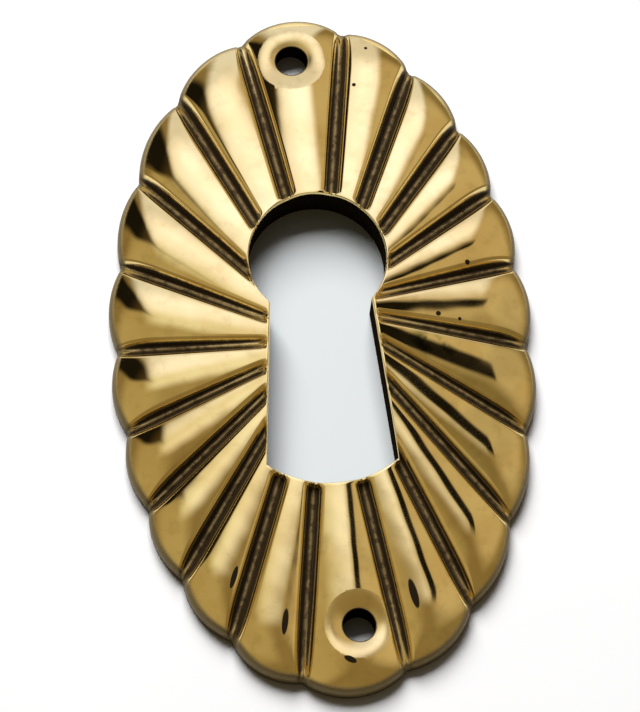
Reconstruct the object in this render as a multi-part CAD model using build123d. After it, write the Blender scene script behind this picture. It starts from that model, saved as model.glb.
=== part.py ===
from build123d import *
from math import cos, pi, radians, sin, sqrt, tan
import os

# Plan of the plate, seen from the front with the round eye of the keyhole upward, mm
LENGTH = 50.6  # tip to tip along the long axis
WIDTH = 30.0  # tip to tip across

# Lobes: each is the back of a straight rod that is sunk in the plate, mm
LOBE_COUNT = 20
ROD_RADIUS = 7.0
CENTRE_HEIGHT = 3.9  # where the crests of all lobes would meet, above the back
TIP_HEIGHT = 2.2  # where the crest of a lobe would stand over its tip
LOBE_OVERLAP = 0.3  # how far a lobe runs in under its neighbours, hidden by the groove

# Hand-laid spacing of the lobes round the edge, in even lobe widths
END_LOBE_SHARE = 1.2  # width of the two end lobes, which carry the screws
RING_TURN = 0.08  # the whole ring is turned back by this
FLANK_DRIFT = 0.32  # and by this more halfway down the two long sides

# Points of the long axis that the grooves aim at, mm
FOCUS_Y = 0.95
FOCUS_SKEW = 1.3  # raised by this for grooves on the right, lowered for those on the left
START_REACH = 2.0  # lobes and grooves start this far from there, inside the keyhole

# Ends of the lobes: each rolls over toward a scallop of the edge, mm
NOTCH_DEPTH = 0.65  # how far the notches between the scallops lie inside the oval of the tips
EDGE_HEIGHT = 1.1  # upright wall at the tips
ROLL_RADIUS = 6.0
ROLL_START_ANGLE = 7.0  # slope in degrees at which the roll takes over from the lobe's own fall
ROLL_END_ANGLE = 42.0  # and its slope at the tip
SCALLOP_SECTOR = 110.0  # degrees of the scallop's circle that are cut

# Grooves: straight channels with sloping walls and a low ridge along the floor, mm
FLOOR_WIDTH = 0.5
RIDGE_HEIGHT = 0.16
WALL_SPREAD = 0.45  # how far a wall leans out for each mm that it rises
FLOOR_START_HEIGHT = 3.4
FLOOR_NOTCH_HEIGHT = 0.95  # where the floor runs out through the edge

# Keyhole, mm
EYE_RADIUS = 4.85
EYE_Y = 6.15
NECK_WIDTH = 7.15
SKIRT_WIDTH = 9.2
SKIRT_Y = -8.95
SKIRT_SAG = 1.6

# Screw holes, drilled by eye through the two end lobes, mm
HOLE_DIAMETER = 2.3
SINK_DIAMETER = 4.1  # width of the right-angled countersink at the crest of the lobe
TOP_INSET = 3.55  # from the tip of the plate
TOP_X = -0.7
BOTTOM_INSET = 4.65
BOTTOM_X = 1.0

# How far the shapes that are cut with, or cut away from, reach past the plate, mm
MARGIN = 4.0
BLOCK_REACH = 2.5

UPRIGHT = (Align.CENTER, Align.CENTER, Align.MIN)

tip_oval = Edge.make_ellipse(WIDTH / 2, LENGTH / 2)


def station(k):
    """Place of groove k round the edge, clockwise from the top, in even lobe widths."""
    half_count = LOBE_COUNT // 2
    half_turns, rest = divmod(k, half_count)
    side_share = (half_count - END_LOBE_SHARE) / (half_count - 1)
    even = half_turns * half_count + END_LOBE_SHARE / 2 + rest * side_share
    return even - RING_TURN - FLANK_DRIFT * sin(2 * pi * even / LOBE_COUNT) ** 2


def edge_point(s):
    """Point of the tip oval at station s. The oval starts at the top and runs anticlockwise."""
    return tip_oval @ (-s / LOBE_COUNT % 1)


def focus(k):
    """Point that groove k aims at."""
    return Vector(0, FOCUS_Y + FOCUS_SKEW * sin(2 * pi * station(k) / LOBE_COUNT))


def groove_line(k):
    """Start of groove k inside the keyhole, its notch in the edge, and its direction."""
    edge = edge_point(station(k))
    way = (edge - focus(k)).normalized()
    return focus(k) + way * START_REACH, edge - way * NOTCH_DEPTH, way


def lobe_line(k):
    """Point of the long axis that the lobe between grooves k - 1 and k aims at, and its tip."""
    return (focus(k - 1) + focus(k)) / 2, edge_point((station(k - 1) + station(k)) / 2)


def scallop(k):
    """Arc of the edge at the end of lobe k, from notch to notch over the tip."""
    return ThreePointArc(groove_line(k - 1)[1], lobe_line(k)[1], groove_line(k)[1])


def lobe_block(k):
    """Upright block between the grooves on both sides of lobe k, with some overlap."""
    sides = []
    for groove_number, shift in ((k - 1, -LOBE_OVERLAP), (k, LOBE_OVERLAP)):
        start, notch, way = groove_line(groove_number)
        aside = Vector(way.Y, -way.X) * shift
        sides.append((start + aside, notch + way * BLOCK_REACH + aside))
    (near_before, far_before), (near_after, far_after) = sides
    plan = make_face(Polyline(near_before, near_after, far_after, far_before, close=True))
    return extrude(plan, CENTRE_HEIGHT)


def rod(k):
    """Straight rod whose back makes the crest of lobe k, falling toward the tip."""
    aim, tip = lobe_line(k)
    along = tip - aim + Vector(0, 0, TIP_HEIGHT - CENTRE_HEIGHT)
    start = Plane(aim + Vector(0, 0, CENTRE_HEIGHT - ROD_RADIUS), z_dir=along)
    return start * Cylinder(ROD_RADIUS, along.length + MARGIN, align=UPRIGHT)


def roll_cut(k):
    """What is taken off above the end of lobe k, to leave it rolled over."""
    start_angle, end_angle = radians(ROLL_START_ANGLE), radians(ROLL_END_ANGLE)
    centre = Vector(-sin(end_angle), -cos(end_angle)) * ROLL_RADIUS + Vector(0, EDGE_HEIGHT)
    roll_start = centre + Vector(sin(start_angle), cos(start_angle)) * ROLL_RADIUS
    run_in = roll_start + Vector(-1, tan(start_angle)) * MARGIN
    run_out = Vector(1, -tan(end_angle)) * MARGIN + Vector(0, EDGE_HEIGHT)
    top = CENTRE_HEIGHT + MARGIN
    section = make_face([
        CenterArc(centre, ROLL_RADIUS, 90 - ROLL_END_ANGLE, ROLL_END_ANGLE - ROLL_START_ANGLE),
        Polyline(roll_start, run_in, (run_in.X, top), (run_out.X, top), run_out, (0, EDGE_HEIGHT)),
    ])
    tip = lobe_line(k)[1]
    way = tip - scallop(k).arc_center
    upright = Plane(tip, x_dir=way, z_dir=Vector(way.Y, -way.X))
    return extrude(upright * section, scallop(k).length, both=True)


def scallop_cut(k):
    """What lies outside the scallop at the end of lobe k."""
    centre = scallop(k).arc_center
    section = Pos(scallop(k).radius + MARGIN / 2, 0) * Rectangle(MARGIN, 2 * CENTRE_HEIGHT)
    ring = revolve(Plane.XZ * section, Axis.Z, SCALLOP_SECTOR)
    return Plane(centre, x_dir=lobe_line(k)[1] - centre) * Rot(0, 0, -SCALLOP_SECTOR / 2) * ring


def lobe(k):
    """One lobe with its rolled end."""
    return (lobe_block(k) & rod(k)) - roll_cut(k) - scallop_cut(k)


def groove(k):
    """Channel along groove k, which runs out through the edge."""
    start, notch, way = groove_line(k)
    start += Vector(0, 0, FLOOR_START_HEIGHT)
    along = notch + Vector(0, 0, FLOOR_NOTCH_HEIGHT) - start
    half, rise = FLOOR_WIDTH / 2, CENTRE_HEIGHT
    top = half + WALL_SPREAD * rise
    outline = Polyline((-half, 0), (0, RIDGE_HEIGHT), (half, 0), (top, rise), (-top, rise), close=True)
    across = Plane(start, x_dir=Vector(-way.Y, way.X), z_dir=along)
    return extrude(across * make_face(outline), along.length + MARGIN)


def keyhole():
    """Round eye over a flared skirt with a sagging foot."""
    neck_y = EYE_Y - sqrt(EYE_RADIUS**2 - (NECK_WIDTH / 2) ** 2)
    neck, neck_left = (NECK_WIDTH / 2, neck_y), (-NECK_WIDTH / 2, neck_y)
    corner, corner_left = (SKIRT_WIDTH / 2, SKIRT_Y), (-SKIRT_WIDTH / 2, SKIRT_Y)
    skirt = make_face([
        Line(neck_left, neck),
        Line(neck, corner),
        ThreePointArc(corner, (0, SKIRT_Y - SKIRT_SAG), corner_left),
        Line(corner_left, neck_left),
    ])
    return extrude(skirt + Pos(0, EYE_Y) * Circle(EYE_RADIUS), CENTRE_HEIGHT, both=True)


def screw_hole(x, y):
    """Plain hole with a right-angled countersink that is sunk from the crest of its lobe."""
    radius = HOLE_DIAMETER / 2
    crest_height = CENTRE_HEIGHT + (TIP_HEIGHT - CENTRE_HEIGHT) * abs(y) / (LENGTH / 2)
    sink_height = crest_height - (SINK_DIAMETER / 2 - radius)
    sink = Pos(0, 0, sink_height) * Cone(radius, radius + MARGIN, MARGIN, align=UPRIGHT)
    return Pos(x, y) * (Cylinder(radius, 2 * CENTRE_HEIGHT) + sink)


plate = Part() + [lobe(k) for k in range(LOBE_COUNT)]
plate -= [groove(k) for k in range(LOBE_COUNT)]
plate -= keyhole()
plate -= screw_hole(TOP_X, LENGTH / 2 - TOP_INSET)
plate -= screw_hole(BOTTOM_X, BOTTOM_INSET - LENGTH / 2)
plate.label = "escutcheon_plate"

os.makedirs("parts", exist_ok=True)
export_step(plate, "parts/escutcheon_plate.step")
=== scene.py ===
import bpy
import numpy as np
from math import cos, radians, sin, tan
from mathutils import Matrix, Vector


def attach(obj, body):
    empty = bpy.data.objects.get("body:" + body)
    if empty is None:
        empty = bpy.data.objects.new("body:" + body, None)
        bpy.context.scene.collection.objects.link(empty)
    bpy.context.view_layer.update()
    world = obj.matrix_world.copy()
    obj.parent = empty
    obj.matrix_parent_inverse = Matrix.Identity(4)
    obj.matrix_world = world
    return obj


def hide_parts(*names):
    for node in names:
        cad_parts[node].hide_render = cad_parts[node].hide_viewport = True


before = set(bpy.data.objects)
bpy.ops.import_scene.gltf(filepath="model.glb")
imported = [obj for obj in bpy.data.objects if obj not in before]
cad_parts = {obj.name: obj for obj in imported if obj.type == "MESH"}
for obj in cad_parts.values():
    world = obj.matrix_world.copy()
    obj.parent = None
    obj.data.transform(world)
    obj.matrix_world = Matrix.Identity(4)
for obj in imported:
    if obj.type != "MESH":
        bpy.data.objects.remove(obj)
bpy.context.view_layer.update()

MM = 0.001
NODE = "escutcheon_plate"
FLAT = (1, 1, 0)  # times a point or direction, leaves its plan
TINY = 1e-9  # keeps a division clear of zero

# Plan and relief of the plate, with the CAD's sizes, mm
LENGTH = 50.6
WIDTH = 30.0
LOBE_COUNT = 20
ROD_RADIUS = 7.0
CENTRE_HEIGHT = 3.9
TIP_HEIGHT = 2.2
END_LOBE_SHARE = 1.2
RING_TURN = 0.08
FLANK_DRIFT = 0.32
FOCUS_Y = 0.95
FOCUS_SKEW = 1.3
START_REACH = 2.0
NOTCH_DEPTH = 0.65
EDGE_HEIGHT = 1.1
ROLL_RADIUS = 6.0
ROLL_START_ANGLE = radians(7)
ROLL_END_ANGLE = radians(42)
FLOOR_WIDTH = 0.5
RIDGE_HEIGHT = 0.16
WALL_SPREAD = 0.45
FLOOR_START_HEIGHT = 3.4
FLOOR_NOTCH_HEIGHT = 0.95
EYE_RADIUS = 4.85
EYE_Y = 6.15
NECK_WIDTH = 7.15
SKIRT_WIDTH = 9.2
SKIRT_Y = -8.95
SKIRT_SAG = 1.6
HOLE_DIAMETER = 2.3
HOLE_RADIUS = HOLE_DIAMETER / 2
TOP_INSET = 3.55
TOP_X = -0.7
BOTTOM_INSET = 4.65
BOTTOM_X = 1.0
HOLES = ((TOP_X, LENGTH / 2 - TOP_INSET), (BOTTOM_X, BOTTOM_INSET - LENGTH / 2))
HOLE_LOBES = (0, LOBE_COUNT // 2)  # numbers of the lobes that carry them

# How far casting and polishing have softened the forms, mm
ROLL_BLEND = 0.6
SHOULDER_BLEND = 0.4
FLOOR_BLEND = 0.1
RIM_ROUND = 0.15
EDGE_ROUND = 0.35
BACK_ROUND = 0.1
RIM_BORDER = 0.45  # the grooves fade out over this much
RIM_LIFT = 2.0  # by rising this much
DISH_REACH = 1.3  # width of the countersinks' worn rings
DISH_FALL = 0.2  # straight share of their depth
DISH_CURVE = 0.22  # and curved share
EDGE_INSET = 0.006  # keeps the mesh inside the CAD's outline
SWELL = 0.004  # uneven swell of the hand-polished face
SWELL_WAVES = ((1.1, 0.7, 0.0), (-0.9, 1.7, 1.3), (2.3, 2.9, 0.4))  # radians per mm of x and y, start

# Reach of the patina, and of the edge's cast skin with its painted shade, mm
PATINA_DEPTH = 0.4  # depth at which a groove is fully dark
PATINA_CORE = 0.56  # it is so up to here from its middle line
PATINA_REACH = 0.96  # and clean from here on
END_SKIN_AND_SHADE = 0.6  # width of the dark cast skin along the edge, which also paints the shade and dark reflection there

# Dark marks on the face, pits, flecks and a crescent: place in mm, turn in degrees, half length and half
# width in mm
PITS_AND_FLECKS = (
    (3.6, 19.5, 0, 0.14, 0.14),
    (4.7, 22.5, 0, 0.12, 0.12),
    (10.6, 5.5, 0, 0.17, 0.17),
    (8.2, 1.6, 0, 0.17, 0.17),
    (9.7, 1.2, 0, 0.12, 0.12),
    (-7.4, -16.8, -110, 0.8, 0.18),
    (-4.1, -20.2, -100, 0.9, 0.21),
    (4.9, -18.7, -78, 1.05, 0.26),
    # a dark crescent just below the lower countersink's outline
    (0.2, -23.1, -28, 0.45, 0.2),
)
TARNISH = (7.7, -0.9, -30, 1.9, 0.9)
SPOT_BORDER = (0.6, 1.2)  # a mark fades between these shares of its size

# Fineness of the mesh
OVAL_STEPS = 8000
RIM_ROWS = 5
FACE_ROWS = 34
END_ROWS = 24
RIM_SHARE = 0.03
END_SHARE = 0.17
END_SWING = radians(87)  # rows over the ends are spread as on this much of a circle
EDGE_WALL_SHARES = (0.7, 0.4, 0.15)
BACK_SHARES = (0, 0.05, 0.35, 0.65, 0.95, 1)
RIM_WALL_SHARES = (0.05, 0.35, 0.65, 0.95)
COLUMNS = (5, 3, 7, 8)  # on half a lobe: groove floor, wall, shoulder, crown
SHOULDER_REACH = 0.25  # mm on each side of a groove's lip
SHOULDER_LIMIT = 0.46  # a shoulder ends at this share of the lobe's width
COLUMN_STEP = 1.1  # a shoulder starts and ends at least this many times further out than what is before it
COLUMN_LEAST = 0.95  # and starts within this share of its end
LIP_ROUNDS = 6  # rounds in which the place of a groove's lip is found
LATHE_STEPS = 96
DISH_RINGS = 12
CUTTER_FOOT = -1.0  # mm, below the back
CUTTER_FLARE = 1.4  # reach of a hole's cutter above the face, in widths of the worn ring
BORE_REACH = 0.03  # mm, points this close to a screw hole's wall belong to it
OUTLINE_REACH = 0.01  # mm, and faces this far inside a countersink's outline belong to it
SHARP_ANGLE = radians(38)

# The photograph's camera: a long lens, from below the plate's middle
VIEW_X = -0.0691
VIEW_Y = -0.34
VIEW_ROLL = -0.0767  # radians
VIEW_DISTANCE = 350.0  # mm
PIXELS_PER_MM = 14.172
ORIGIN_PIXEL = (321.8, 354.3)
IMAGE_SIZE = (640, 712)
SENSOR = 36.0
NEAR_CLIP = 0.01  # m

# Floor and lamp, m
FLOOR_RADIUS = 3.0
FLOOR_STEPS = 64
FLOOR_GAP = 0.02 * MM  # under the plate's back
LAMP_WAY = (-0.13, 0.7)  # plan of the direction toward it
LAMP_DISTANCE = 0.8
LAMP_SIZE = 0.5
LAMP_RADIANCE = 13.2  # W per square metre and steradian

# Paper: white, with a bluish patch of painted shade that ends out of sight under the plate
PAPER_NOISE = 40.0
PAPER_SPAN = (0.3, 0.7)
PAPER_GREY = (0.95, 0.95, 0.955, 1)
PAPER_WHITE = (0.97, 0.97, 0.972, 1)
SHADE_PATCH_BLUE = (0.73, 0.765, 0.775, 1)
SHADE_PATCH_HALF_WIDTH = 7.5 * MM
SHADE_PATCH_HALF_LENGTH = 14 * MM
SHADE_PATCH_SCALE = (1 / SHADE_PATCH_HALF_WIDTH, 1 / SHADE_PATCH_HALF_LENGTH, 0)
SHADE_PATCH_BORDER = (1.0, 1.5)  # it fades between these shares of its size

# Noises of the brass: scale per metre, detail and roughness
BRASS_NOISES = {
    "cloud": (260.0, 3.0, 0.5),
    "stain": (120.0, 4.0, 0.6),
    "mottle": (900.0, 3.0, 0.6),
    "speck": (1900.0, 2.0, 0.6),
    "grain": (2600.0, 4.0, 0.6),
    "verdigris": (700.0, 3.0, 0.5),
}

# Spans of these noises and of the marks, over which one look gives way to another
CLOUD_SPAN = (0.35, 0.65)
STAIN_SPAN = (0.56, 0.72)
MOTTLE_SPAN = (0.5, 0.72)
SPECK_SPAN = (0.38, 0.6)
VERDIGRIS_SPAN = (0.42, 0.6)
RIDGE_SPAN = (0.1, 0.8)
DIRT_SPAN = (0.42, 0.95)
SKIN_AND_SHADE_SPAN = (0.15, 0.7)
# painted contact shadow at the foot of the edge fades out between these heights
FOOT_SHADOW_SPAN = (0.1 * MM, 0.7 * MM)
SINK_SPAN = (0.2, 0.3)
PIT_SPAN = (0.0, 0.4)
GLOSS_SPAN = (0.3, 0.7)

# How much of the brass some of them cover
STAIN_COVER = 0.55
MOTTLE_COVER = 0.3
SPECK_LEAST = 0.25
SKIN_AND_SHADE_COVER = 0.9
RAGGEDNESS = 0.35  # share of the grain in the border of the dirt

# Colours of the brass
METAL_DEEP = (0.74, 0.55, 0.22, 1)
METAL_PALE = (0.82, 0.64, 0.28, 1)
METAL_STAINED = (0.52, 0.43, 0.19, 1)
METAL_MOTTLED = (0.5, 0.36, 0.13, 1)
GROOVE_DARK = (0.034, 0.02, 0.007, 1)
GROOVE_RIDGE = (0.23, 0.16, 0.068, 1)
# cast skin, darkened further as painted shade and painted dark reflection on the edges, the back and the
# walls
CAST_SKIN_AND_SHADE = (0.11, 0.077, 0.031, 1)
# painted contact shadow at the foot of the edge
EDGE_FOOT_SHADOW = (0.05, 0.035, 0.014, 1)
# painted shade on the keyhole's inner wall and in the screw bores
INSIDE_SHADE = (0.016, 0.011, 0.006, 1)
TARNISH_GREEN = (0.17, 0.17, 0.05, 1)
PIT_DARK = (0.02, 0.012, 0.005, 1)

# Gloss and relief of the brass
GLOSS_ROUGHNESS = (0.03, 0.07)
SINK_ROUGHNESS = 0.2  # added in the worn countersinks
DULL_ROUGHNESS = 0.55
SKIN_DULLNESS = 0.85
DULL_METALLIC = 0.3
CLEAN_SPECULAR = 0.5
DULL_SPECULAR = 0.1
GRAIN_RELIEF = (0.002, 0.5)  # on clean and on dull brass
PIT_RELIEF = 0.25
BUMP_STRENGTH = 0.35
BUMP_DEPTH = 0.06 * MM

# Room that the brass mirrors: directions from the plate, and the spans along them that things fade over
ROOM_LIGHT = 0.14  # share of the room's light that falls on dull surfaces
ROOM_TONE = (0.3, 0.235, 0.12, 1)
WALLS = (
    ((0.64, 0.33, 0.69), (0.76, 0.95), (0.66, 0.56, 0.39, 1)),
    ((-0.6, -0.1, 0.79), (0.74, 0.95), (0.53, 0.45, 0.27, 1)),
)
HORIZON_SPAN = (-0.02, 0.05)
HORIZON_WHITE = (1, 1, 1, 1)
ROOM_BLACK = (0.012, 0.01, 0.008, 1)

# Its window and the sky in it, whose middle is brighter than its sides
WINDOW_LEFT = (-0.42, -0.2)  # along x
WINDOW_FOOT = (0.04, 0.24)  # along y
WINDOW_RIGHT = (0.06, 0.2)  # along the next, since this side is slanted
WINDOW_RIGHT_WAY = (0.958, -0.287, 0.0)
SKY_MIDDLE_LEFT = (-0.3, 0.05)
SKY_MIDDLE_RIGHT = (0.12, 0.3)
SKY_RIGHT_SHARE = 0.4
SKY_HIGH_SPAN = (0.28, 0.46)
SKY_TOP_SPAN = (0.56, 0.8)
SKY_LOW = ((0.95, 0.95, 0.88, 1), (1.38, 1.42, 1.7, 1))  # at the sides and in the middle
SKY_HIGH = ((1.18, 1.24, 1.6, 1), (1.6, 1.65, 2.3, 1))
SKY_TOP = (0.95, 1.0, 1.3, 1)

# Its dark corner at the upper left, which narrows toward the middle and is brown there
CORNER_ALONG = (-0.707, 0.707, 0.0)
CORNER_ACROSS = (0.707, 0.707, 0.0)
CORNER_SHIFT = 0.02
CORNER_WIDTH = 0.22
CORNER_TAPER = (0.36, 0.8)
CORNER_BORDER = (-0.07, 0.05)
CORNER_START = (0.3, 0.46)
CORNER_DEEPENING = (0.46, 0.74)
CORNER_BROWN = (0.085, 0.062, 0.028, 1)

# Its dark slat at the right, where two bands cross: direction, middle, core and reach
SLAT_BANDS = (((0.2, 0.98, 0.0), 0.31, 0.1, 0.2), ((0.98, -0.2, 0.0), 0.216, 0.035, 0.06))


def unit(vectors):
    """The vectors, each at length one."""
    return vectors / np.linalg.norm(vectors, axis=-1, keepdims=True)


def cross(a, b):
    """Signed area between plane vectors."""
    return a[..., 0] * b[..., 1] - a[..., 1] * b[..., 0]


def soft_min(a, b, blend):
    """The lower of two heights, rounded where they meet."""
    closeness = np.maximum(blend - np.abs(a - b), 0) / blend
    return np.minimum(a, b) - closeness**2 * blend / 4


def groove_stations():
    """Places round the edge of the grooves from -1 on, clockwise from the top, in lobe widths."""
    half_count = LOBE_COUNT // 2
    half_turns, rest = np.divmod(np.arange(-1, LOBE_COUNT), half_count)
    side_share = (half_count - END_LOBE_SHARE) / (half_count - 1)
    even = half_turns * half_count + END_LOBE_SHARE / 2 + rest * side_share
    return even - RING_TURN - FLANK_DRIFT * np.sin(2 * np.pi * even / LOBE_COUNT) ** 2


def oval(stations):
    """Points of the oval of lobe tips."""
    angle = np.linspace(0, 2 * np.pi, OVAL_STEPS + 1)
    x = WIDTH / 2 * np.sin(angle)
    y = LENGTH / 2 * np.cos(angle)
    run = np.concatenate([[0.0], np.cumsum(np.hypot(np.diff(x), np.diff(y)))])
    place = stations / LOBE_COUNT % 1 * run[-1]
    return np.stack([np.interp(place, run, x), np.interp(place, run, y)], -1)


def focus(stations):
    """Points of the long axis that the lines at these stations aim at."""
    y = FOCUS_Y + FOCUS_SKEW * np.sin(2 * np.pi * stations / LOBE_COUNT)
    return np.stack([0 * y, y], -1)


def circle_through(a, b, c):
    """Centre and radius of the circle through three points."""
    sides = 2 * np.array([b - a, c - a])
    centre = np.linalg.solve(sides, np.array([b @ b - a @ a, c @ c - a @ a]))
    return centre, np.linalg.norm(a - centre)


def circle_exit(start, way, centre, radius):
    """How far along their ways rays leave a circle."""
    offset = centre - start
    middle = (offset * way).sum(-1)
    return middle + np.sqrt(np.maximum(radius**2 - (offset**2).sum(-1) + middle**2, 0))


def keyhole_exit(start, way):
    """How far along their ways rays leave the keyhole."""
    neck_y = EYE_Y - np.sqrt(EYE_RADIUS**2 - (NECK_WIDTH / 2) ** 2)
    lean = (SKIRT_WIDTH - NECK_WIDTH) / 2 / (SKIRT_Y - neck_y)
    closing = np.maximum(np.abs(way[..., 0]) - lean * way[..., 1], TINY)
    side = (NECK_WIDTH / 2 + lean * (start[..., 1] - neck_y)) / closing
    foot_radius = ((SKIRT_WIDTH / 2) ** 2 + SKIRT_SAG**2) / (2 * SKIRT_SAG)
    foot = circle_exit(start, way, np.array([0, SKIRT_Y - SKIRT_SAG + foot_radius]), foot_radius)
    eye = circle_exit(start, way, np.array([0, EYE_Y]), EYE_RADIUS)
    return np.where(start[..., 1] + side * way[..., 1] > neck_y, eye, np.minimum(side, foot))


class Lobe:
    """One lobe with the grooves on both its sides."""

    def __init__(self, before, after):
        self.before = before
        self.after = after
        self.tip = oval((before + after) / 2)
        self.aim = (focus(before) + focus(after)) / 2
        self.grooves = []
        for station in (before, after):
            way = unit(oval(station) - focus(station))
            start = focus(station) + way * START_REACH
            self.grooves.append((start, oval(station) - way * NOTCH_DEPTH, way))
        self.centre, radius = circle_through(self.grooves[0][1], self.tip, self.grooves[1][1])
        self.radius = radius - EDGE_INSET

    def plan(self, share_out, share_round):
        """Points from rim to edge and from groove to groove, and how far they are from the rim."""
        stations = self.before + (self.after - self.before) * share_round
        start = focus(stations)
        way = unit(oval(stations) - start)
        near = keyhole_exit(start, way)
        run = (circle_exit(start, way, self.centre, self.radius) - near) * share_out
        return start + way * (near + run)[..., None], run

    def crest(self, points):
        """Height of the lobe without its grooves: a rod's back that rolls over at the end."""
        length = np.linalg.norm(self.tip - self.aim)
        way = (self.tip - self.aim) / length
        slope = (TIP_HEIGHT - CENTRE_HEIGHT) / length
        line = CENTRE_HEIGHT + slope * ((points - self.aim) @ way)
        aside = cross(points - self.aim, way)
        sag = ROD_RADIUS - np.sqrt(ROD_RADIUS**2 - aside**2)
        return soft_min(line, self.roll(points), ROLL_BLEND) - sag

    def roll(self, points):
        """Height of the roll over the end along its middle, and of the straight run before it."""
        along = (points - self.tip) @ unit(self.tip - self.centre)
        turn = -ROLL_RADIUS * sin(ROLL_END_ANGLE)
        turn_height = EDGE_HEIGHT - ROLL_RADIUS * cos(ROLL_END_ANGLE)
        first = turn + ROLL_RADIUS * sin(ROLL_START_ANGLE)
        curve = np.sqrt(ROLL_RADIUS**2 - (np.maximum(along, first) - turn) ** 2)
        return turn_height + curve + np.maximum(first - along, 0) * tan(ROLL_START_ANGLE)

    def edge_distance(self, points):
        """How far points are inside the scallop of the edge."""
        offset = points - self.centre
        outward = offset @ (self.tip - self.centre) > 0
        return self.radius - np.where(outward, np.linalg.norm(offset, axis=-1), 0)

    def groove_floor(self, points, side):
        """Height of a groove's floor."""
        start, notch, way = self.grooves[side]
        share = ((points - start) @ way) / np.linalg.norm(notch - start)
        return FLOOR_START_HEIGHT + (FLOOR_NOTCH_HEIGHT - FLOOR_START_HEIGHT) * share

    def groove_aside(self, points, side):
        """Distance from a groove's middle line."""
        start, _, way = self.grooves[side]
        return np.abs(cross(points - start, way))

    def height(self, points, run):
        """Height of the front. The grooves fade out just short of the rim."""
        height = self.crest(points)
        for side in (0, 1):
            aside = self.groove_aside(points, side)
            wall = (aside - FLOOR_WIDTH / 2) / WALL_SPREAD
            ridge = RIDGE_HEIGHT * np.cos(np.minimum(aside / FLOOR_WIDTH, 0.5) * np.pi) ** 2
            channel = self.groove_floor(points, side) + ridge - soft_min(-wall, 0 * wall, FLOOR_BLEND)
            channel = channel + RIM_LIFT * np.maximum(1 - run / RIM_BORDER, 0) ** 2
            height = soft_min(height, channel, SHOULDER_BLEND)
        rim_short = np.maximum(RIM_ROUND - run, 0)
        height = height - RIM_ROUND + np.sqrt(RIM_ROUND**2 - rim_short**2)
        edge_short = np.clip(EDGE_ROUND - self.edge_distance(points), 0, EDGE_ROUND)
        return height - EDGE_ROUND + np.sqrt(EDGE_ROUND**2 - edge_short**2)

    def lip(self, share_out, width, side):
        """Distance of a groove's lip from its middle line."""
        middle, _ = self.plan(share_out, 0 * share_out + side)
        floor = self.groove_floor(middle, side)
        lip = 0 * share_out + FLOOR_WIDTH
        for _ in range(LIP_ROUNDS):
            points, _ = self.plan(share_out, np.abs(side - lip / width))
            lip = FLOOR_WIDTH / 2 + WALL_SPREAD * np.maximum(self.crest(points) - floor, 0)
        return lip

    def columns(self, share_out):
        """Shares from groove to groove of the mesh's columns, which follow the grooves' lips."""
        left, _ = self.plan(share_out, 0 * share_out)
        right, _ = self.plan(share_out, 0 * share_out + 1)
        halves = []
        for side in (0, 1):
            width = np.abs(cross(right - left, self.grooves[side][2]))
            lip = self.lip(share_out, width, side)
            floor = 0 * width + FLOOR_WIDTH / 2
            low = np.maximum(lip - SHOULDER_REACH, floor * COLUMN_STEP)
            high = np.maximum(lip + SHOULDER_REACH, low * COLUMN_STEP)
            high = np.minimum(high, width * SHOULDER_LIMIT)
            low = np.minimum(low, high * COLUMN_LEAST)
            marks = [0 * width, floor, low, high, width / 2]
            half = []
            for start, end, count in zip(marks, marks[1:], COLUMNS):
                half += [(start + (end - start) * i / count) / width for i in range(count)]
            halves.append(np.array(half))
        return np.concatenate([halves[0], 0 * share_out[None] + 0.5, 1 - halves[1][:0:-1]])


def row_shares():
    """Shares from rim to edge of the mesh's rows, closer at the rim and over the ends."""
    rim = np.linspace(0, RIM_SHARE, RIM_ROWS, endpoint=False)
    face = np.linspace(RIM_SHARE, 1 - END_SHARE, FACE_ROWS, endpoint=False)
    swing = np.sin(np.linspace(0, END_SWING, END_ROWS))
    return np.concatenate([rim, face, 1 - END_SHARE + END_SHARE * swing / swing[-1]])


def swell(points):
    """Slow rise and fall of a face that was polished by hand, mm, never above the true face."""
    waves = [np.sin(a * points[..., 0] + b * points[..., 1] + start) - 1 for a, b, start in SWELL_WAVES]
    return SWELL * sum(waves) / len(waves)


def front_grid():
    """Points of the front, their patina and the edge's painted shade: columns clockwise, rows from rim to
    edge.
    """
    shares = row_shares()
    stations = groove_stations()
    fronts = []
    patina_and_shade = {"groove": [], "ridge": [], "end": []}
    for before, after in zip(stations, stations[1:]):
        lobe = Lobe(before, after)
        columns = lobe.columns(shares)
        points, run = lobe.plan(np.broadcast_to(shares, columns.shape), columns)
        height = lobe.height(points, run)
        fronts.append(np.concatenate([points, height[..., None]], -1))
        aside = np.minimum(lobe.groove_aside(points, 0), lobe.groove_aside(points, 1))
        depth = np.clip((lobe.crest(points) - height) / PATINA_DEPTH, 0, 1)
        nearness = np.clip((PATINA_REACH - aside) / (PATINA_REACH - PATINA_CORE), 0, 1)
        patina_and_shade["groove"].append(depth * nearness)
        patina_and_shade["ridge"].append(np.clip(1 - aside / (FLOOR_WIDTH / 2), 0, 1))
        # dark cast skin near the edge, which also paints the shade and dark reflection there
        patina_and_shade["end"].append(np.clip(1 - lobe.edge_distance(points) / END_SKIN_AND_SHADE, 0, 1))
    return np.concatenate(fronts), {name: np.concatenate(masks) for name, masks in patina_and_shade.items()}


def plate_rows(front):
    """Rows of points right round the plate: front, edge, back and the keyhole's wall."""
    rim, edge = front[:, 0], front[:, -1]
    inward = unit(front[:, -2] - edge) * FLAT
    edge_back = edge * FLAT + inward * BACK_ROUND
    rim_back = rim * FLAT - inward * BACK_ROUND
    rows = list(front.swapaxes(0, 1))
    rows += [edge * (1, 1, share) for share in EDGE_WALL_SHARES]
    rows += [edge_back + (rim_back - edge_back) * share for share in BACK_SHARES]
    rows += [rim * (1, 1, share) for share in RIM_WALL_SHARES]
    return np.array(rows)


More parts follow.
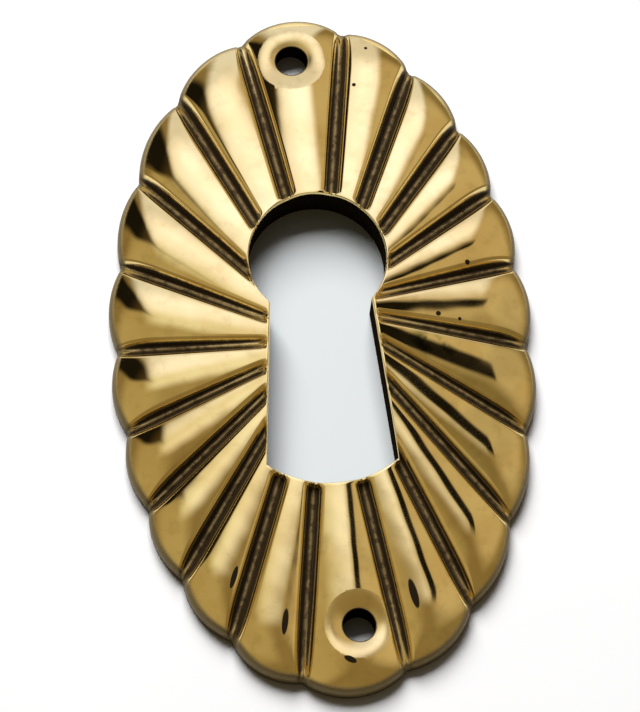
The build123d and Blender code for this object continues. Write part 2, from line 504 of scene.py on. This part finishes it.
def plate_mesh():
    """Closed mesh of the plate without its screw holes, with the patina and the painted shade as
    attributes.
    """
    front, patina_and_shade = front_grid()
    front[..., 2] += swell(front) * np.clip(front[..., 2] - EDGE_HEIGHT, 0, 1)
    grid = plate_rows(front)
    row_count, column_count = grid.shape[:2]
    number = np.arange(row_count * column_count).reshape(row_count, column_count)
    next_row = np.roll(number, -1, 0)
    next_column = np.roll(number, -1, 1)
    corner = np.roll(next_row, -1, 1)
    faces = np.stack([number, next_row, corner, next_column], -1).reshape(-1, 4)
    mesh = bpy.data.meshes.new("escutcheon")
    mesh.from_pydata((grid * MM).reshape(-1, 3).tolist(), [], faces.tolist())
    # painted shade: the keyhole's inner wall is made near black
    patina_and_shade["inside"] = np.zeros((column_count, row_count))
    patina_and_shade["inside"][:, -len(RIM_WALL_SHARES):] = 1
    for name, mask in patina_and_shade.items():
        # Past the front all is cast skin, darkened as painted shade
        values = np.full((row_count, column_count), float(name == "end"))
        values[: mask.shape[1]] = mask.T
        attribute = mesh.attributes.new(name, "FLOAT", "POINT")
        attribute.data.foreach_set("value", values.ravel())
    return mesh


def add_object(name, data):
    """A new object in the scene."""
    piece = bpy.data.objects.new(name, data)
    bpy.context.scene.collection.objects.link(piece)
    return piece


def hole_cutter(place, lobe):
    """Screw hole with a dished countersink sunk into the back of its lobe, as a closed mesh."""
    turn = np.linspace(0, 2 * np.pi, LATHE_STEPS, endpoint=False)
    circle = np.stack([np.cos(turn), np.sin(turn)], -1)
    profile = []
    for share in np.linspace(0, 1, DISH_RINGS):
        depth = DISH_FALL * (1 - share) + DISH_CURVE * (1 - share) ** 2
        profile.append((HOLE_RADIUS + DISH_REACH * share, -depth))
    profile.append((HOLE_RADIUS + CUTTER_FLARE * DISH_REACH, DISH_REACH))
    rings = [np.concatenate([circle * HOLE_RADIUS + place, 0 * turn[:, None] + CUTTER_FOOT], -1)]
    for ring_radius, height in profile:
        ring = circle * ring_radius + place
        rings.append(np.concatenate([ring, lobe.crest(ring)[:, None] + height], -1))
    number = np.arange(len(rings) * LATHE_STEPS).reshape(len(rings), LATHE_STEPS)
    faces = [number[0][::-1].tolist(), number[-1].tolist()]
    for low, high in zip(number, number[1:]):
        quads = np.stack([low, np.roll(low, -1), np.roll(high, -1), high], -1)
        faces += quads.tolist()
    mesh = bpy.data.meshes.new("screw_hole")
    mesh.from_pydata((np.concatenate(rings) * MM).tolist(), [], faces)
    return mesh


def near_hole(values, reach):
    """Which points of a run of coordinates are this close, in mm, to a screw hole's middle line."""
    plan = values.reshape(-1, 3)[:, :2] / MM
    near = np.zeros(len(plan), bool)
    for place in HOLES:
        near |= np.hypot(*(plan - place).T) < reach
    return near


def shade_bores(mesh):
    """Paints shade on the walls of the screw holes: dark cast skin, and near black inside."""
    points = np.empty(len(mesh.vertices) * 3)
    mesh.vertices.foreach_get("co", points)
    bore = near_hole(points, HOLE_RADIUS + BORE_REACH)
    for name in ("end", "inside"):
        values = np.empty(len(mesh.vertices))
        mesh.attributes[name].data.foreach_get("value", values)
        mesh.attributes[name].data.foreach_set("value", np.where(bore, 1, values))


def sharpen_sinks(mesh):
    """Marks the outlines of the countersinks as sharp edges."""
    centres = np.empty(len(mesh.polygons) * 3)
    mesh.polygons.foreach_get("center", centres)
    inside = near_hole(centres, HOLE_RADIUS + DISH_REACH - OUTLINE_REACH)
    corners = np.empty(len(mesh.polygons), int)
    mesh.polygons.foreach_get("loop_total", corners)
    edges = np.empty(len(mesh.loops), int)
    mesh.loops.foreach_get("edge_index", edges)
    inside_faces = np.bincount(edges, np.repeat(inside, corners), len(mesh.edges))
    sharp = np.empty(len(mesh.edges), bool)
    mesh.attributes["sharp_edge"].data.foreach_get("value", sharp)
    mesh.attributes["sharp_edge"].data.foreach_set("value", sharp | (inside_faces == 1))


def make_plate():
    """The plate with its two screw holes cut through."""
    plate = add_object("escutcheon", plate_mesh())
    stations = groove_stations()
    for place, number in zip(HOLES, HOLE_LOBES):
        cutter = add_object("screw_hole", hole_cutter(place, Lobe(stations[number], stations[number + 1])))
        cut = plate.modifiers.new("screw_hole", "BOOLEAN")
        cut.operation = "DIFFERENCE"
        cut.solver = "EXACT"
        cut.object = cutter
        depsgraph = bpy.context.evaluated_depsgraph_get()
        mesh = bpy.data.meshes.new_from_object(plate.evaluated_get(depsgraph))
        plate.modifiers.remove(cut)
        plate.data = mesh
        bpy.data.objects.remove(cutter)
    shade_bores(plate.data)
    plate.data.name = "escutcheon"
    plate.data.polygons.foreach_set("use_smooth", [True] * len(plate.data.polygons))
    plate.data.set_sharp_from_angle(angle=SHARP_ANGLE)
    sharpen_sinks(plate.data)
    return plate


class Nodes:
    """Short way to add and link the nodes of one node tree."""

    def __init__(self, owner):
        owner.use_nodes = True
        self.tree = owner.node_tree
        self.tree.nodes.clear()

    def add(self, kind, settings=None, **inputs):
        """Adds a node with its settings, and sets or links its inputs by name or, as _0, by number."""
        node = self.tree.nodes.new(kind)
        for name, value in (settings or {}).items():
            setattr(node, name, value)
        for name, value in inputs.items():
            socket = node.inputs[int(name[1:]) if name[1:].isdigit() else name.replace("_", " ")]
            if isinstance(value, bpy.types.NodeSocket):
                self.tree.links.new(value, socket)
            else:
                socket.default_value = value
        return node

    def noise(self, place, scale, detail=3.0, roughness=0.5):
        """Value of a noise texture."""
        node = self.add("ShaderNodeTexNoise", Vector=place, Scale=scale, Detail=detail, Roughness=roughness)
        return node.outputs["Fac"]

    def ramp(self, value, low, high, to_low=0.0, to_high=1.0):
        """Value moved from one range to another, smoothly and without going past it."""
        settings = {"interpolation_type": "SMOOTHSTEP", "clamp": True}
        node = self.add("ShaderNodeMapRange", settings, Value=value, From_Min=low, From_Max=high)
        node.inputs["To Min"].default_value = to_low
        node.inputs["To Max"].default_value = to_high
        return node.outputs["Result"]

    def math(self, operation, a, b=0.0):
        """Sum, product and the like of two values."""
        return self.add("ShaderNodeMath", {"operation": operation}, _0=a, _1=b).outputs[0]

    def product(self, *values):
        """Product of some values."""
        result = values[0]
        for value in values[1:]:
            result = self.math("MULTIPLY", result, value)
        return result

    def largest(self, *values):
        """Largest of some values."""
        result = values[0]
        for value in values[1:]:
            result = self.math("MAXIMUM", result, value)
        return result

    def vector(self, operation, a, b=(0, 0, 0)):
        """Sockets of a vector product, length and the like."""
        return self.add("ShaderNodeVectorMath", {"operation": operation}, _0=a, _1=b).outputs

    def along(self, way, direction):
        """How far each way runs along a direction."""
        return self.vector("DOT_PRODUCT", way, direction)["Value"]

    def away(self, way, direction, middle):
        """How far each way is from a middle, measured along a direction."""
        return self.math("ABSOLUTE", self.math("SUBTRACT", self.along(way, direction), middle))

    def mix(self, share, a, b):
        """Colour between two colours."""
        node = self.add("ShaderNodeMix", {"data_type": "RGBA"}, _0=share, _6=a, _7=b)
        return node.outputs[2]

    def spot(self, flat, x, y, turn, half_length, half_width):
        """Long or round mark on the face, which fades at its border. Sizes in mm, turn in degrees."""
        inside = self.add(
            "ShaderNodeMapping",
            {"vector_type": "TEXTURE"},
            Vector=flat,
            Location=(x * MM, y * MM, 0),
            Rotation=(0, 0, radians(turn)),
            Scale=(half_length * MM, half_width * MM, 1),
        )
        return self.ramp(self.vector("LENGTH", inside.outputs["Vector"])["Value"], *SPOT_BORDER, 1, 0)


def brass_marks(nodes, place, noise):
    """Where the brass is dark, dirty, worn or rough, or carries painted shade: masks by name."""
    marks = {}
    for name in ("groove", "ridge", "end", "inside"):
        marks[name] = nodes.add("ShaderNodeAttribute", {"attribute_name": name}).outputs["Fac"]
    uneven = nodes.product(nodes.math("SUBTRACT", noise["grain"], 0.5), RAGGEDNESS)
    marks["dirt"] = nodes.ramp(nodes.math("ADD", marks["groove"], uneven), *DIRT_SPAN)
    # dark cast skin on the edges, the back and the walls, which also paints their shade and dark reflection
    marks["skin"] = nodes.ramp(marks["end"], *SKIN_AND_SHADE_SPAN, 0, SKIN_AND_SHADE_COVER)
    height = nodes.add("ShaderNodeSeparateXYZ", Vector=place).outputs["Z"]
    # painted contact shadow along the foot of the edge wall
    marks["foot"] = nodes.product(marks["skin"], nodes.ramp(height, *FOOT_SHADOW_SPAN, 1, 0))
    flat = nodes.vector("MULTIPLY", place, FLAT)["Vector"]
    sink_radius = HOLE_RADIUS + DISH_REACH
    sinks = [nodes.spot(flat, *hole, 0, sink_radius, sink_radius) for hole in HOLES]
    marks["sink"] = nodes.ramp(nodes.largest(*sinks), *SINK_SPAN)
    verdigris = nodes.ramp(noise["verdigris"], *VERDIGRIS_SPAN)
    marks["tarnish"] = nodes.product(nodes.spot(flat, *TARNISH), verdigris)
    marks["pit"] = nodes.largest(*[nodes.spot(flat, *mark) for mark in PITS_AND_FLECKS])
    return marks


def brass_colour(nodes, noise, marks):
    """Colour of the brass: cloudy metal under the patina, pits, flecks and tarnish, with painted shade on
    the edges, at their foot and on the inner walls.
    """
    metal = nodes.mix(nodes.ramp(noise["cloud"], *CLOUD_SPAN), METAL_DEEP, METAL_PALE)
    metal = nodes.mix(nodes.ramp(noise["stain"], *STAIN_SPAN, 0, STAIN_COVER), metal, METAL_STAINED)
    metal = nodes.mix(nodes.ramp(noise["mottle"], *MOTTLE_SPAN, 0, MOTTLE_COVER), metal, METAL_MOTTLED)
    speck = nodes.ramp(noise["speck"], *SPECK_SPAN, SPECK_LEAST, 1)
    ridge = nodes.product(speck, nodes.ramp(marks["ridge"], *RIDGE_SPAN))
    colour = nodes.mix(marks["dirt"], metal, nodes.mix(ridge, GROOVE_DARK, GROOVE_RIDGE))
    # painted shade and dark reflection on the edges, over their cast skin
    colour = nodes.mix(marks["skin"], colour, CAST_SKIN_AND_SHADE)
    # painted contact shadow at the foot of the edge
    colour = nodes.mix(marks["foot"], colour, EDGE_FOOT_SHADOW)
    # painted shade on the keyhole's wall and in the screw bores
    colour = nodes.mix(marks["inside"], colour, INSIDE_SHADE)
    colour = nodes.mix(marks["tarnish"], colour, TARNISH_GREEN)
    return nodes.mix(nodes.ramp(marks["pit"], *PIT_SPAN), colour, PIT_DARK)


def brass_material():
    """Polished cast brass with a dark patina in the grooves, small pits, some tarnish, and painted shade on
    its edges and inner walls.
    """
    material = bpy.data.materials.new("brass")
    nodes = Nodes(material)
    place = nodes.add("ShaderNodeTexCoord").outputs["Object"]
    noise = {name: nodes.noise(place, *settings) for name, settings in BRASS_NOISES.items()}
    marks = brass_marks(nodes, place, noise)
    dull = nodes.largest(marks["dirt"], marks["pit"], nodes.product(marks["skin"], SKIN_DULLNESS))
    gloss = nodes.ramp(noise["cloud"], *GLOSS_SPAN, *GLOSS_ROUGHNESS)
    gloss = nodes.math("ADD", gloss, nodes.product(marks["sink"], SINK_ROUGHNESS))
    rough = nodes.add("ShaderNodeMix", {"data_type": "FLOAT"}, _0=dull, _2=gloss, _3=DULL_ROUGHNESS)
    relief = nodes.product(noise["grain"], nodes.ramp(dull, 0, 1, *GRAIN_RELIEF))
    relief = nodes.math("SUBTRACT", relief, nodes.product(marks["pit"], PIT_RELIEF))
    bump = nodes.add("ShaderNodeBump", Strength=BUMP_STRENGTH, Distance=BUMP_DEPTH, Height=relief)
    # the painted shade inside is neither metallic nor specular
    outside = nodes.math("SUBTRACT", 1.0, marks["inside"])
    matte = nodes.largest(marks["skin"], marks["pit"])
    shader = nodes.add(
        "ShaderNodeBsdfPrincipled",
        Base_Color=brass_colour(nodes, noise, marks),
        Roughness=rough.outputs[0],
        Metallic=nodes.product(nodes.ramp(dull, 0, 1, 1, DULL_METALLIC), outside),
        Specular_IOR_Level=nodes.product(nodes.ramp(matte, 0, 1, CLEAN_SPECULAR, DULL_SPECULAR), outside),
        Normal=bump.outputs["Normal"],
    )
    nodes.add("ShaderNodeOutputMaterial", Surface=shader.outputs["BSDF"])
    return material


def paper_material():
    """White paper, with painted bluish shade where it shows through the keyhole."""
    material = bpy.data.materials.new("paper")
    nodes = Nodes(material)
    place = nodes.add("ShaderNodeTexCoord").outputs["Object"]
    white = nodes.mix(nodes.ramp(nodes.noise(place, PAPER_NOISE), *PAPER_SPAN), PAPER_GREY, PAPER_WHITE)
    reach = nodes.vector("LENGTH", nodes.vector("MULTIPLY", place, SHADE_PATCH_SCALE)["Vector"])["Value"]
    # painted shade on the paper inside the keyhole
    colour = nodes.mix(nodes.ramp(reach, *SHADE_PATCH_BORDER), SHADE_PATCH_BLUE, white)
    shader = nodes.add("ShaderNodeBsdfDiffuse", Color=colour)
    nodes.add("ShaderNodeOutputMaterial", Surface=shader.outputs["BSDF"])
    return material


def make_floor():
    """Wide round sheet under the plate."""
    turn = np.linspace(0, 2 * np.pi, FLOOR_STEPS, endpoint=False)
    points = [(FLOOR_RADIUS * np.cos(angle), FLOOR_RADIUS * np.sin(angle), -FLOOR_GAP) for angle in turn]
    mesh = bpy.data.meshes.new("floor")
    mesh.from_pydata(points, [], [list(range(len(points)))])
    mesh.materials.append(paper_material())
    return add_object("floor", mesh)


def make_lamp():
    """Square lamp that faces the plate and casts its shadow. The brass doesn't mirror it."""
    x, y = LAMP_WAY
    way = Vector((x, y, (1 - x * x - y * y) ** 0.5))
    light = bpy.data.lights.new("shadow_lamp", "AREA")
    light.size = LAMP_SIZE
    light.energy = LAMP_RADIANCE * np.pi * LAMP_SIZE**2
    lamp = add_object("shadow_lamp", light)
    lamp.location = way * LAMP_DISTANCE
    lamp.rotation_euler = (-way).to_track_quat("-Z", "Y").to_euler()
    lamp.visible_camera = False
    lamp.visible_glossy = False


def add_window(nodes, way, sides, room):
    """The room with a soft window above the plate."""
    left = nodes.ramp(sides["X"], *WINDOW_LEFT)
    foot = nodes.ramp(sides["Y"], *WINDOW_FOOT)
    right = nodes.ramp(nodes.along(way, WINDOW_RIGHT_WAY), *WINDOW_RIGHT, 1, 0)
    middle_left = nodes.ramp(sides["X"], *SKY_MIDDLE_LEFT)
    middle = nodes.product(middle_left, nodes.ramp(sides["X"], *SKY_MIDDLE_RIGHT, 1, SKY_RIGHT_SHARE))
    low = nodes.mix(middle, *SKY_LOW)
    high = nodes.mix(middle, *SKY_HIGH)
    sky = nodes.mix(nodes.ramp(sides["Y"], *SKY_HIGH_SPAN), low, high)
    sky = nodes.mix(nodes.ramp(sides["Y"], *SKY_TOP_SPAN), sky, SKY_TOP)
    return nodes.mix(nodes.product(left, foot, right), room, sky)


def add_corner(nodes, way, room):
    """The room with its dark corner."""
    outward = nodes.along(way, CORNER_ALONG)
    width = nodes.ramp(outward, *CORNER_TAPER, 0, CORNER_WIDTH)
    past = nodes.math("SUBTRACT", nodes.away(way, CORNER_ACROSS, CORNER_SHIFT), width)
    corner = nodes.product(nodes.ramp(past, *CORNER_BORDER, 1, 0), nodes.ramp(outward, *CORNER_START))
    shade = nodes.mix(nodes.ramp(outward, *CORNER_DEEPENING), CORNER_BROWN, ROOM_BLACK)
    return nodes.mix(corner, room, shade)


def add_slat(nodes, way, room):
    """The room with its dark slat."""
    bands = []
    for direction, middle, core, reach in SLAT_BANDS:
        bands.append(nodes.ramp(nodes.away(way, direction, middle), core, reach, 1, 0))
    return nodes.mix(nodes.product(*bands), room, ROOM_BLACK)


def make_world():
    """Dim warm room over a white horizon, with a window, a dark corner and a dark slat."""
    world = bpy.data.worlds.new("room")
    bpy.context.scene.world = world
    nodes = Nodes(world)
    way = nodes.add("ShaderNodeTexCoord").outputs["Generated"]
    sides = nodes.add("ShaderNodeSeparateXYZ", Vector=way).outputs
    room = ROOM_TONE
    for direction, span, tone in WALLS:
        room = nodes.mix(nodes.ramp(nodes.along(way, direction), *span), room, tone)
    room = add_window(nodes, way, sides, room)
    room = add_corner(nodes, way, room)
    room = add_slat(nodes, way, room)
    colour = nodes.mix(nodes.ramp(sides["Z"], *HORIZON_SPAN), HORIZON_WHITE, room)
    diffuse = nodes.add("ShaderNodeLightPath").outputs["Is Diffuse Ray"]
    strength = nodes.ramp(diffuse, 0, 1, 1, ROOM_LIGHT)
    shader = nodes.add("ShaderNodeBackground", Color=colour, Strength=strength)
    nodes.add("ShaderNodeOutputWorld", Surface=shader.outputs["Background"])


def make_camera():
    """The photograph's view of the plate."""
    view = Vector((VIEW_X, VIEW_Y, (1 - VIEW_X**2 - VIEW_Y**2) ** 0.5))
    level_up = (Vector((0, 1, 0)) - view * VIEW_Y).normalized()
    level_right = level_up.cross(view)
    roll = Matrix.Rotation(VIEW_ROLL, 3, view)
    right, up = roll @ level_right, roll @ level_up
    aside = (IMAGE_SIZE[0] / 2 - ORIGIN_PIXEL[0]) / PIXELS_PER_MM
    above = (ORIGIN_PIXEL[1] - IMAGE_SIZE[1] / 2) / PIXELS_PER_MM
    lens = bpy.data.cameras.new("camera")
    lens.sensor_fit = "HORIZONTAL"
    lens.sensor_width = SENSOR
    lens.lens = SENSOR * PIXELS_PER_MM * VIEW_DISTANCE / IMAGE_SIZE[0]
    lens.clip_start = NEAR_CLIP
    camera = add_object("camera", lens)
    axes = Matrix((right, up, view)).transposed()
    place = (view * VIEW_DISTANCE + right * aside + up * above) * MM
    camera.matrix_world = Matrix.Translation(place) @ axes.to_4x4()
    bpy.context.scene.camera = camera


plate = make_plate()
plate.data.materials.clear()
plate.data.materials.append(brass_material())
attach(plate, "root")
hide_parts(NODE)

make_floor()
make_world()
make_lamp()
make_camera()
bpy.context.scene.view_settings.view_transform = "Standard"
